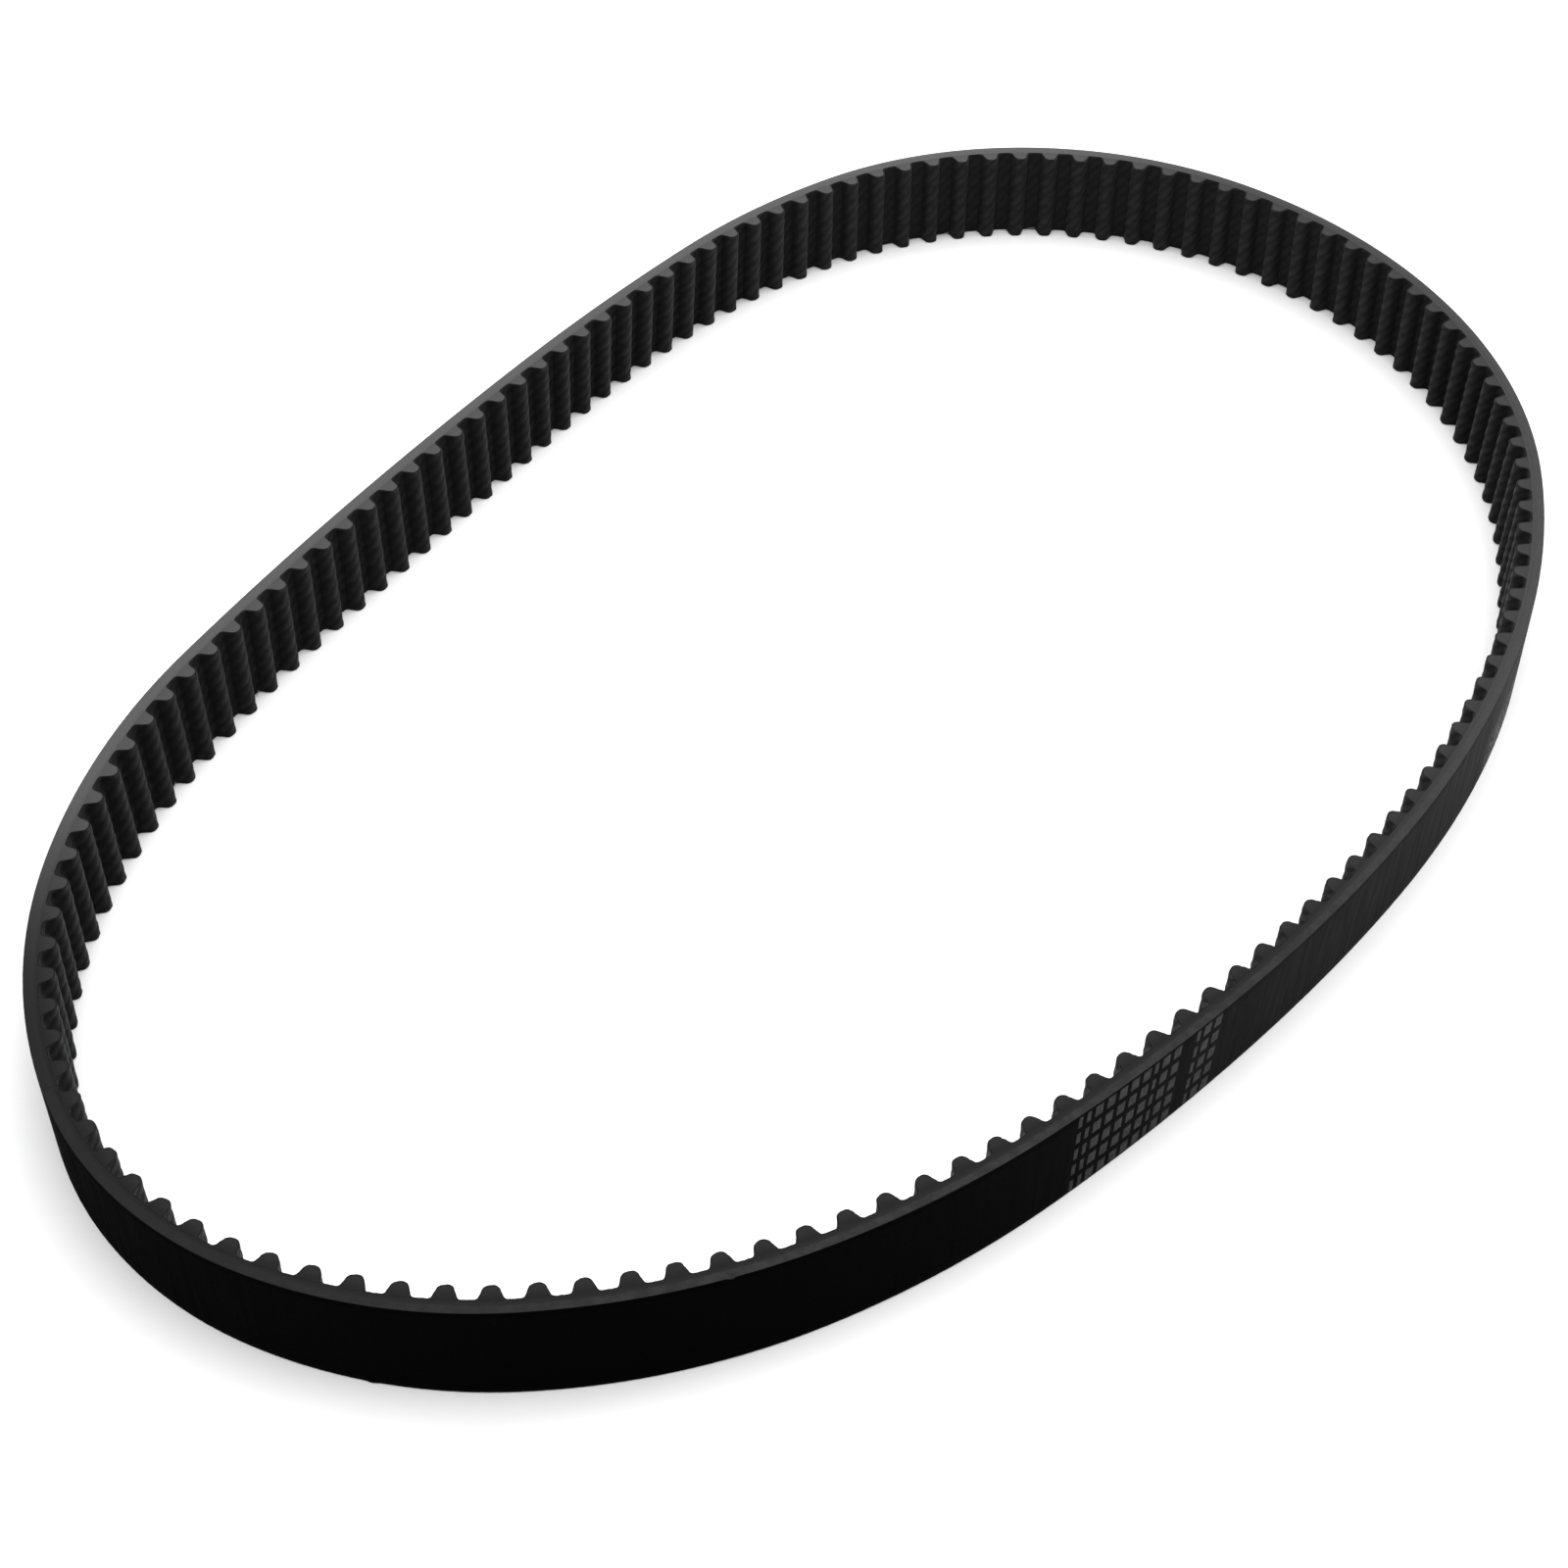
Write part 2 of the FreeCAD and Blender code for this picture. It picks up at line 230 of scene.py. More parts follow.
def half_profile():
    """Half a tooth from the middle of a land to the middle of the tip: (along, depth, normal)."""
    rows = []
    for k in range(LAND_STEPS):
        rows.append((-PITCH / 2 + (PITCH / 2 - FOOT) * k / LAND_STEPS, LAND, 0.0, 1.0))
    for k in range(ROOT_STEPS):
        a = (math.pi / 2 - SLOPE) * k / ROOT_STEPS
        rows.append((-FOOT + ROOT * math.sin(a), LAND + ROOT - ROOT * math.cos(a),
                     -math.sin(a), math.cos(a)))
    low = (-FOOT + ROOT * ACROSS, LAND + ROOT - ROOT * UP)
    high = (-FLAT - CORNER * ACROSS, TIP - CORNER + CORNER * UP)
    for k in range(FLANK_STEPS):
        rows.append((low[0] + (high[0] - low[0]) * k / FLANK_STEPS,
                     low[1] + (high[1] - low[1]) * k / FLANK_STEPS, -ACROSS, UP))
    for k in range(CORNER_STEPS):
        a = SLOPE + (math.pi / 2 - SLOPE) * k / CORNER_STEPS
        rows.append((-FLAT - CORNER * math.cos(a), TIP - CORNER + CORNER * math.sin(a),
                     -math.cos(a), math.sin(a)))
    rows.append((-FLAT, TIP, 0.0, 1.0))
    return rows


def tooth_profile():
    """One whole tooth as an array of (along, depth, normal along, normal depth, run)."""
    left = half_profile()
    right = [(-u, d, -nu, nd) for u, d, nu, nd in reversed(left)]
    rows = np.array(left + [(0.0, TIP, 0.0, 1.0)] + right)
    steps = np.linalg.norm(np.diff(rows[:, :2], axis=0), axis=1)
    run = np.concatenate([[0.0], np.cumsum(steps)])
    return np.column_stack([rows, run])


PROFILE = tooth_profile()
RUN = PROFILE[-1, 4]           # length of the cloth over one tooth
ROUND_OFF = 1e-6               # in lengths along the profile


def surface(first, last, offset):
    """The toothed side between two lands, moved out by an offset.

    Gives plan points, plan normals, the run along the cloth, the rows of the profile and s."""
    count = last - first
    tooth = np.repeat(np.arange(first, last), len(PROFILE) - 1)
    rows = np.tile(PROFILE[:-1], (count, 1))
    tooth = np.append(tooth, last - 1)
    rows = np.vstack([rows, PROFILE[-1:]])
    u = rows[:, 0] + offset * rows[:, 2]
    if first == 0:
        u[0] += SEAM
    if last == TEETH:
        u[-1] -= SEAM
    d = rows[:, 1] + offset * rows[:, 3]
    centre, heading = on_pitch_line(tooth + 0.5)
    along, inward = ways(heading)
    straight = centre + along * u[:, None] + inward * d[:, None]
    bent_point, bent_heading = on_pitch_line(tooth + 0.5 + u / PITCH)
    bent_along, bent_inward = ways(bent_heading)
    bent = bent_point + bent_inward * d[:, None]
    t = np.clip((np.abs(rows[:, 0]) - FOOT) / ROOT + 1, 0, 1)
    t = (t * t * (3 - 2 * t))[:, None]
    points = straight * (1 - t) + bent * t
    normals = ((along * (1 - t) + bent_along * t) * rows[:, 2:3]
               + (inward * (1 - t) + bent_inward * t) * rows[:, 3:4])
    return points, normals, tooth * RUN + rows[:, 4], rows, tooth + 0.5 + u / PITCH


CLOTH_ROWS = 64                # rows of faces across the belt
RIBS_ALONG = 4                 # ribs of the cloth crossed per tooth
RIB_RISE = 3.2                 # height across the belt between two ribs
RIB_HEIGHT = 0.13
RIB_MIDDLE = 0.55              # share of a rib that lies under the cloth's mean surface
LAND_RELIEF, TIP_RELIEF = 0.45, 0.75   # relief on a land, and what a tooth's tip has more
RELIEF_FROM = 1.8              # depth where that rise starts, and how far it goes on
FRAY = 0.05                    # unevenness of the cloth's upper edge
LOW_FRAY = 0.04                # and of its lower edge
TUCK = 0.03                    # how far the upper edge lies under the cut


def ribs(run, z):
    """Relief of the twill: rounded ribs with narrow valleys, crossing the teeth at a slant."""
    phase = run / (RUN / RIBS_ALONG) + z / RIB_RISE
    wander = (0.10 * np.sin(TURN * (z / 17.0 + run / (RUN * 3.7)))
              + 0.07 * np.sin(TURN * (z / 6.1 - run / 9.3)))
    swell = (0.8 + 0.2 * np.sin(TURN * (z / 5.3 + run / 13.7))
             + 0.15 * np.sin(TURN * (z / 2.9 - run / 7.9)))
    return swell * np.abs(np.sin(math.pi * (phase + wander))) ** 0.8


# ---- Meshes ----

def new_piece(name, verts, faces, material, layers, sharp):
    """A mesh object from points in millimetres, with layers of values on its points.

    Edges sharper than an angle in degrees stay sharp."""
    mesh = bpy.data.meshes.new(name)
    mesh.from_pydata((np.asarray(verts) * MM).tolist(), [], faces)
    mesh.update()
    bm = bmesh.new()
    bm.from_mesh(mesh)
    bmesh.ops.recalc_face_normals(bm, faces=bm.faces)
    bm.to_mesh(mesh)
    bm.free()
    for key, values in layers.items():
        values = np.asarray(values, np.float32)
        kind = "FLOAT_VECTOR" if values.ndim == 2 else "FLOAT"
        layer = mesh.attributes.new(key, kind, "POINT")
        layer.data.foreach_set("vector" if values.ndim == 2 else "value", values.ravel())
    mesh.shade_smooth()
    mesh.set_sharp_from_angle(angle=math.radians(sharp))
    mesh.materials.append(material)
    obj = bpy.data.objects.new(name, mesh)
    bpy.context.scene.collection.objects.link(obj)
    return obj


def tube(sections, loop):
    """Faces that join sections of the same closed loop, with a face over each end."""
    faces = []
    for j in range(sections - 1):
        a = j * loop
        b = a + loop
        for i in range(loop):
            k = (i + 1) % loop
            faces.append((a + i, a + k, b + k, b + i))
    faces.append(tuple(range(loop))[::-1])
    faces.append(tuple(range((sections - 1) * loop, sections * loop)))
    return faces


# Threads that have come loose from the cloth's lower edge: (place, length in teeth, how far it stands off).
LOOSE_THREADS = [(78.95, 0.30, 0.5), (81.95, 0.42, 0.9), (112.95, 0.34, 0.7), (116.95, 0.30, 0.6)]
THREAD_SIDES, THREAD_POINTS = 6, 13
THREAD_RADIUS = 0.11
THREAD_TAPER = 0.6             # share of the radius lost at the loose end
THREAD_HEIGHT, THREAD_ARCH = 0.35, 0.25
THREAD_SUNK = 0.05             # how deep its root lies in the cloth
LOOSE = 2.0                    # value of the rib layer on a loose thread, where the cloth has 0 to 1


def loose_thread(at, reach, droop, base):
    """A thin curved strand along the foot of the cloth: points and faces."""
    sides = THREAD_SIDES
    t = np.linspace(0, 1, THREAD_POINTS)
    along = at + reach * (t - 0.5)
    out = LAND - THREAD_SUNK + droop * np.sin(math.pi * 0.8 * t)
    rise = THREAD_HEIGHT + THREAD_ARCH * np.sin(math.pi * t)
    radius = THREAD_RADIUS * (1 - THREAD_TAPER * t)
    around = np.arange(sides) * TURN / sides
    depth = out[:, None] + radius[:, None] * np.cos(around)
    z = rise[:, None] + radius[:, None] * np.sin(around)
    points = stand(place(np.broadcast_to(along[:, None], depth.shape), depth), z, along[:, None])
    faces = [tuple(base + i for i in face) for face in tube(len(t), sides)]
    return points.reshape(-1, 3), faces


def make_facing(name, first, last, material):
    """The cloth over the teeth, with the ribs of its weave raised on it."""
    outer, normals, run, rows, s = surface(first, last, 0.0)
    inner = surface(first, last, -FACING)[0]
    z = np.linspace(0, WIDTH, CLOTH_ROWS + 1)
    rib = ribs(run[:, None], z[None])
    crest = LAND_RELIEF + TIP_RELIEF * np.clip((rows[:, 1:2] - RELIEF_FROM) / RELIEF_FROM, 0, 1)
    relief = RIB_HEIGHT * crest * (rib - RIB_MIDDLE)
    lift = outer[:, None] + normals[:, None] * relief[..., None]
    fray = FRAY * waves(run, RUN * TEETH, range(700, 1700, 97), 5)
    heights = np.broadcast_to(z, relief.shape).copy()
    heights[:, 0] += LOW_FRAY * np.abs(waves(run, RUN * TEETH, range(500, 1900, 111), 6))
    heights[:, -1] += fray - TUCK
    cloth = stand(lift, heights, s[:, None])
    back = stand(np.stack([inner, inner], 1), np.array([WIDTH, 0.0]), s[:, None])
    verts = np.concatenate([cloth, back], 1)
    loop = verts.shape[1]
    coords = np.zeros(verts.shape)
    coords[..., 0] = run[:, None]
    coords[..., 1] = rows[:, 1:2]
    coords[..., 2] = verts[..., 2]
    rim = np.zeros(verts.shape[:2])
    rim[:, -2:] = 1.0
    raised = np.zeros(verts.shape[:2])
    raised[:, :-2] = rib
    faces = tube(len(run), loop)
    flat = verts.reshape(-1, 3)
    coords = coords.reshape(-1, 3)
    rim = rim.ravel()
    raised = raised.ravel()
    for at, reach, droop in LOOSE_THREADS:
        if first <= at < last:
            strand, more = loose_thread(at, reach, droop, len(flat))
            flat = np.concatenate([flat, strand])
            faces.extend(more)
            coords = np.concatenate([coords, np.tile([at * RUN, LAND, 0.0], (len(strand), 1))])
            rim = np.concatenate([rim, np.ones(len(strand))])
            raised = np.concatenate([raised, np.full(len(strand), LOOSE)])
    return new_piece(name, flat, faces, material,
                     {"belt": coords, "rest": flat, "rim": rim, "rib": raised}, 50)


def make_teeth(name, first, last, material):
    """The rubber under the cloth, one closed bar a tooth."""
    verts = []
    faces = []
    coords = []
    z = np.array([0.0, WIDTH])
    for tooth in range(first, last):
        points, _, _, rows, s = surface(tooth, tooth + 1, -FACING)
        keep = np.abs(rows[:, 0]) <= FOOT + ROUND_OFF
        rows = rows[keep]
        corners = stand(np.stack([points[keep]] * 2, 1), z, s[keep][:, None])
        n = len(corners)
        base = len(verts)
        for i in range(n):
            depth = rows[i, 1] - FACING * rows[i, 3]
            for k, height in enumerate(z):
                verts.append(tuple(corners[i, k]))
                coords.append((tooth * PITCH + rows[i, 0], depth, height))
        for i in range(n):
            j = (i + 1) % n
            faces.append((base + 2 * i, base + 2 * j, base + 2 * j + 1, base + 2 * i + 1))
        for i in range(n // 2):
            a, b, c, d = i, i + 1, n - 2 - i, n - 1 - i
            for side in (0, 1):
                ring = [base + 2 * v + side for v in ((a, b, c, d) if b != c else (a, b, d))]
                faces.append(tuple(ring))
    return new_piece(name, verts, faces, material, {"belt": coords, "rest": verts}, 35)


NICK_AT = 17.6                 # a small cut in the back's upper edge, in teeth
NICK_REACH = 0.07              # its half-length, in teeth
NICK_DEPTH = 0.55
BURR_AT = 9.8                  # a burr on the lower edge, in teeth
BURR_REACH = 0.12
BURR_SIZE = 0.25
FLAW_DEPTH = 0.9               # how far in from the back both reach
ROUNDING = 0.16                # radius between the back and a cut edge
ROUND_STEPS = 3
BACK_ROWS, EDGE_ROWS = 15, 13
BACK_STEPS = 16                # sections per tooth
TROUGH_DEPTH = 0.07            # the groove that the knife leaves over the cords
TROUGH_AT = 0.1
TROUGH_SWAY = 0.08
TROUGH_WIDTH = 0.3
RIPPLE = 0.035                 # unevenness of the cut
BACK_RIPPLE = 0.02             # and of the back


def back_loop():
    """The backing's cross-section: (depth, height, 1 on a cut edge), once round."""
    rows = []
    for z in np.linspace(ROUNDING, WIDTH - ROUNDING, BACK_ROWS):
        rows.append((BACK, z, 0.0))
    for k in range(1, ROUND_STEPS + 1):
        a = math.pi / 2 * k / ROUND_STEPS
        part = k / ROUND_STEPS
        rows.append((BACK + ROUNDING * (1 - math.cos(a)), WIDTH - ROUNDING * (1 - math.sin(a)), part))
    for d in np.linspace(BACK + ROUNDING, INNER, EDGE_ROWS)[1:]:
        rows.append((d, WIDTH, 1.0))
    for d in np.linspace(INNER, BACK + ROUNDING, EDGE_ROWS):
        rows.append((d, 0.0, 1.0))
    for k in range(1, ROUND_STEPS):
        a = math.pi / 2 * k / ROUND_STEPS
        part = 1 - k / ROUND_STEPS
        rows.append((BACK + ROUNDING * (1 - math.sin(a)), ROUNDING * (1 - math.cos(a)), part))
    return np.array(rows)


def make_back(name, first, last, material):
    """The backing rubber, with a faint trough in its cut edges where the knife crossed the cords."""
    rows = back_loop()
    s = np.linspace(*span(first, last), (last - first) * BACK_STEPS + 1)
    depth = np.broadcast_to(rows[:, 0], (len(s), len(rows))).copy()
    height = np.broadcast_to(rows[:, 1], depth.shape).copy()
    cut = np.broadcast_to(rows[:, 2], depth.shape)
    grid_s = np.broadcast_to(s[:, None], depth.shape)
    sway = TROUGH_SWAY * waves(grid_s, TEETH, range(40, 300, 31), 3)
    trough = TROUGH_DEPTH * np.exp(-((depth - TROUGH_AT - sway) / TROUGH_WIDTH) ** 2)
    ripple = RIPPLE * waves(grid_s + 0.08 * depth, TEETH, range(90, 900, 83), 4)
    inside = np.clip((INNER - depth) / 0.2, 0, 1)
    sunk = (trough + np.abs(ripple) * 0.8) * inside * (cut > 0.99)
    height = np.where(height > WIDTH / 2, height - sunk, height + sunk)
    depth = depth + BACK_RIPPLE * waves(grid_s, TEETH, range(200, 1000, 79), 8) * (1 - cut)
    outside = np.clip((BACK + FLAW_DEPTH - depth) / FLAW_DEPTH, 0, 1)
    nick = np.exp(-((grid_s - NICK_AT) / NICK_REACH) ** 2)
    height = height - NICK_DEPTH * nick * outside * (height > WIDTH - 0.5)
    burr = np.exp(-((grid_s - BURR_AT) / BURR_REACH) ** 2)
    depth = depth - BURR_SIZE * burr * outside * (height < 0.5)
    verts = stand(place(grid_s, depth), height, grid_s).reshape(-1, 3)
    coords = np.stack([grid_s * PITCH, depth, height], -1).reshape(-1, 3)
    faces = tube(len(s), len(rows))
    return new_piece(name, verts, faces, material,
                     {"belt": coords, "rest": verts, "cut": cut.ravel()}, 45)


CORD_RADIUS = 0.425
CORD_SPACING = 1.2
CORD_COUNT = 18
CORD_SIDES = 8
CORD_STEPS = 2                 # sections per tooth


def make_cords(name, first, last, material):
    """The turns of the tensile cord, side by side inside the rubber."""
    sides = CORD_SIDES
    s = np.linspace(*span(first, last), (last - first) * CORD_STEPS + 1)
    around = np.arange(sides) * TURN / sides
    margin = (WIDTH - (CORD_COUNT - 1) * CORD_SPACING) / 2
    verts = []
    coords = []
    faces = []
    for k in range(CORD_COUNT):
        z = margin + k * CORD_SPACING
        depth = np.broadcast_to(CORD_RADIUS * np.cos(around), (len(s), sides))
        grid_s = np.broadcast_to(s[:, None], depth.shape)
        height = np.broadcast_to(z + CORD_RADIUS * np.sin(around), depth.shape)
        base = len(verts)
        verts.extend(stand(place(grid_s, depth), height, grid_s).reshape(-1, 3).tolist())
        coords.extend(np.stack([grid_s * PITCH, np.broadcast_to(around, depth.shape), height], -1)
                      .reshape(-1, 3).tolist())
        faces.extend(tuple(base + i for i in face) for face in tube(len(s), sides))
    return new_piece(name, verts, faces, material, {"belt": coords, "rest": verts}, 60)


INK_STEP = 0.25                # length of a face along a bar
INK_LINES = 14                 # faces across a bar
INK_EDGE = 0.2                 # width of a bar's sloping rim
INK_LOW, INK_RISE = 0.012, 0.028   # ink over the back at the rim, and what the middle has more
INK_ROOT = 0.03                # how deep a bar reaches into the back
INK_RAGGED = (0.05, 0.07)      # unevenness of the rim along and across the belt


def slab_faces(base, columns, lines):
    """Faces of a closed slab: its outer grid of points, then its inner one."""
    rows = lines + 1
    size = (columns + 1) * rows
    faces = []

    def at(i, j, layer=0):
        return base + layer * size + i * rows + j

    for i in range(columns):
        for j in range(lines):
            faces.append((at(i, j), at(i + 1, j), at(i + 1, j + 1), at(i, j + 1)))
            faces.append((at(i, j, 1), at(i, j + 1, 1), at(i + 1, j + 1, 1), at(i + 1, j, 1)))
    for i in range(columns):
        faces.append((at(i, 0), at(i, 0, 1), at(i + 1, 0, 1), at(i + 1, 0)))
        faces.append((at(i, lines), at(i + 1, lines), at(i + 1, lines, 1), at(i, lines, 1)))
    for j in range(lines):
        faces.append((at(0, j), at(0, j + 1), at(0, j + 1, 1), at(0, j, 1)))
        faces.append((at(columns, j), at(columns, j, 1), at(columns, j + 1, 1), at(columns, j + 1)))
    return faces


def make_marks(name, material):
    """Plain printed bars on the back, where the CAD has them."""
    verts = []
    faces = []
    coords = []
    for solid in islands("print_marks"):
        middle = solid[:, :2].mean(0)
        tooth = np.argmin(np.linalg.norm(POINTS - middle, axis=1))
        way = ways(HEADINGS[tooth])[0]
        s = tooth + 0.5 + ((solid[:, :2] - POINTS[tooth]) @ way) / PITCH
        low_z, high_z = solid[:, 2].min(), solid[:, 2].max()
        columns = max(3, int(round((s.max() - s.min()) * PITCH / INK_STEP)))
        u, v = np.meshgrid(np.linspace(0, 1, columns + 1), np.linspace(0, 1, INK_LINES + 1), indexing="ij")
        edge = np.minimum(np.minimum(u, 1 - u) * (s.max() - s.min()) * PITCH,
                          np.minimum(v, 1 - v) * (high_z - low_z))
        bulge = np.clip(edge / INK_EDGE, 0, 1)
        shift_s = INK_RAGGED[0] * (random.random(u.shape) - 0.5) * (bulge < 0.5)
        shift_z = INK_RAGGED[1] * (random.random(u.shape) - 0.5) * (bulge < 0.5)
        grid_s = s.min() + u * (s.max() - s.min()) + shift_s / PITCH
        grid_z = low_z + v * (high_z - low_z) + shift_z
        outer = BACK - INK_LOW - INK_RISE * bulge
        root = np.full(u.shape, BACK + INK_ROOT)
        faces.extend(slab_faces(len(verts), columns, INK_LINES))
        for depth in (outer, root):
            verts.extend(stand(place(grid_s, depth), grid_z, grid_s).reshape(-1, 3).tolist())
            coords.extend(np.stack([grid_s * PITCH, outer, grid_z], -1).reshape(-1, 3).tolist())
    return new_piece(name, verts, faces, material, {"belt": coords, "rest": verts}, 50)


# ---- Materials ----

class Nodes:
    """A short way to build a node material."""

    def __init__(self, name):
        self.material = bpy.data.materials.new(name)
        self.material.use_nodes = True
        self.tree = self.material.node_tree
        self.tree.nodes.clear()
        out = self.tree.nodes.new("ShaderNodeOutputMaterial")
        self.shader = self.tree.nodes.new("ShaderNodeBsdfPrincipled")
        self.tree.links.new(self.shader.outputs[0], out.inputs[0])

    def link(self, value, socket):
        if isinstance(value, bpy.types.NodeSocket):
            self.tree.links.new(value, socket)
        else:
            socket.default_value = value

    def attribute(self, key, output="Vector"):
        node = self.tree.nodes.new("ShaderNodeAttribute")
        node.attribute_type = "GEOMETRY"
        node.attribute_name = key
        return node.outputs[output]

    def math(self, operation, *values):
        node = self.tree.nodes.new("ShaderNodeMath")
        node.operation = operation
        for socket, value in zip(node.inputs, values):
            self.link(value, socket)
        return node.outputs[0]

    def split(self, vector):
        node = self.tree.nodes.new("ShaderNodeSeparateXYZ")
        self.link(vector, node.inputs[0])
        return node.outputs

    def scaled(self, vector, scale):
        node = self.tree.nodes.new("ShaderNodeVectorMath")
        node.operation = "MULTIPLY"
        self.link(vector, node.inputs[0])
        node.inputs[1].default_value = scale
        return node.outputs[0]

    def noise(self, vector, scale, detail, roughness):
        node = self.tree.nodes.new("ShaderNodeTexNoise")
        self.link(vector, node.inputs["Vector"])
        node.inputs["Scale"].default_value = scale
        node.inputs["Detail"].default_value = detail
        node.inputs["Roughness"].default_value = roughness
        return node.outputs[0]

    def ramp(self, value, low, high, to_low=0.0, to_high=1.0):
        node = self.tree.nodes.new("ShaderNodeMapRange")
        node.interpolation_type = "SMOOTHSTEP"
        self.link(value, node.inputs["Value"])
        for key, number in zip(("From Min", "From Max", "To Min", "To Max"), (low, high, to_low, to_high)):
            node.inputs[key].default_value = number
        return node.outputs[0]

    def mix(self, factor, a, b):
        node = self.tree.nodes.new("ShaderNodeMix")
        node.data_type = "RGBA"
        self.link(factor, node.inputs[0])
        self.link(a, node.inputs[6])
        self.link(b, node.inputs[7])
        return node.outputs[2]

    def bump(self, height, strength, distance, under=None):
        node = self.tree.nodes.new("ShaderNodeBump")
        node.inputs["Strength"].default_value = strength
        node.inputs["Distance"].default_value = distance
        self.link(height, node.inputs["Height"])
        if under is not None:
            self.link(under, node.inputs["Normal"])
        return node.outputs[0]

    def set(self, **values):
        for key, value in values.items():
            self.link(value, self.shader.inputs[key.replace("_", " ")])
        return self.material


# Where a look fades in and where it fades out along the belt, in millimetres from the seam.
BACK_LIGHT_PATCH = ((200.0, 290.0), (400.0, 450.0))         # painted light: a paler patch on the back where the light from the right falls
LIT_EDGE = ((250.0, 400.0), (950.0, 1030.0))   # painted light on the cut edge, where the light from behind shines on it
MORE_LIT_EDGE = ((560.0, 640.0), (960.0, 1020.0))  # and more painted light along the far side
SHADED_EDGE = ((950.0, 1010.0), (1100.0, 1200.0))  # painted shade: the cut edge darkens after that, up to the seam
SHADED_NEAR_EDGE = (140.0, 60.0)                       # and painted shade darkens it towards the seam on the near side
SHINE = (5.0, 95.0)                             # the back loses its shine towards the seam
GLINT_AT = 46.9 * PITCH                         # a painted highlight: a pale patch low on the back where light grazes it
GLINT_REACH = (17.0, 9.0)
GLINT_HEIGHT = (15.0, 8.0)

# The same for the cloth, in teeth.
# the cloth turns darker from here on, most on the tips
DARKER_TIPS = (86, 102)
DARK_CLOTH = (110, 119)
SHADED_CLOTH = ((46, 53), (58, 67))
# the lands of the cloth paler along here
PALE_LANDS = ((62, 70), (83, 91))

# Shares of the light that each thing sends back.
BLACK_RUBBER = (0.0003, 0.0005)
RUBBED = 0.0018
# painted light on the back
BACK_LIGHT_TONE = 0.0080
# the painted highlight low on the back
GLINT_TONE = 0.095
CUT_BRIGHT = (0.0145, 0.0240)
CUT_INNER = 0.0090
CUT_GRAIN = 0.015
# painted shade on the cut edges
CUT_SHADE = 0.0100
# painted light on the cut edges
EDGE_LIGHT_TONES = (0.050, 0.105)
TOOTH_TONES = (0.0085, 0.0150)
TOOTH_GRAIN = 0.012
CLOTH_LOW = (0.0014, 0.0068)   # between the ribs, on a land and on a tip; painted shade makes the valleys between the ribs and the lands darker
CLOTH_HIGH = (0.0026, 0.0112)  # on the ribs
CLOTH_UNEVEN = 0.004
CLOTH_DARK = 0.0006
CLOTH_PALE = 0.0075
CLOTH_FUZZ = 0.014
CLOTH_RIM = 0.010
THREAD_TONE = 0.30
CORD_DARK = (0.16, 0.14, 0.10, 1.0)
CORD_LIGHT = (0.40, 0.37, 0.30, 1.0)
INK_TONES = (0.006, 0.027)
FLOOR_TONES = (0.90, 0.92)

WARP = 0.62                    # between two threads across the cloth
PICKS = 24                     # threads along the cloth over one tooth


def grey(value):
    return (value, value, value, 1.0)


def between(n, along, rise, fall):
    """1 between two places along the belt, fading in over rise and out over fall."""
    return n.math("MULTIPLY", n.ramp(along, *rise), n.ramp(along, fall[1], fall[0]))


def teeth(places):
    """Places in teeth as lengths along the cloth."""
    return tuple(place * RUN for place in places)


def with_painted_edge_light(n, along, colour, amount):
    """A cut edge's colour with painted light: paler round the wide bend and paler still along the far side,
    where the light from behind shines on it.
    """
    pale = n.mix(between(n, along, *MORE_LIT_EDGE), grey(EDGE_LIGHT_TONES[0]), grey(EDGE_LIGHT_TONES[1]))
    return n.mix(n.math("MULTIPLY", between(n, along, *LIT_EDGE), amount), colour, pale)


def backing_face(n, rest, along, height, streaks):
    """Colour of the smooth back, with painted light on the stretch lit from the right and a painted
    highlight low down.
    """
    blotches = n.noise(n.scaled(rest, (1.0, 1.0, 0.7)), 0.09, 4.0, 0.6)
    marks = n.ramp(n.noise(n.scaled(rest, (1.0, 1.0, 0.5)), 0.35, 6.0, 0.7), 0.60, 0.75)
    face = n.mix(n.ramp(streaks, 0.35, 0.7), grey(BLACK_RUBBER[0]), grey(BLACK_RUBBER[1]))
    face = n.mix(n.math("MULTIPLY", marks, n.ramp(blotches, 0.5, 0.65)), face, grey(RUBBED))
    cloud = n.ramp(n.noise(n.scaled(rest, (1.0, 1.0, 0.3)), 0.25, 5.0, 0.6), 0.2, 0.8, 0.6, 1.0)
    # painted light: the back turns paler where the light from the right falls on it
    face = n.mix(n.math("MULTIPLY", between(n, along, *BACK_LIGHT_PATCH), cloud), face, grey(BACK_LIGHT_TONE))
    # a painted highlight low on the back, broken up by noise
    away = n.math("ABSOLUTE", n.math("SUBTRACT", along, GLINT_AT))
    torn = n.ramp(n.noise(n.scaled(rest, (1.0, 1.0, 0.6)), 1.3, 6.0, 0.75), 0.44, 0.60)
    here = n.math("MULTIPLY", n.ramp(away, *GLINT_REACH), n.ramp(height, *GLINT_HEIGHT))
    return n.mix(n.math("MULTIPLY", here, torn), face, grey(GLINT_TONE))


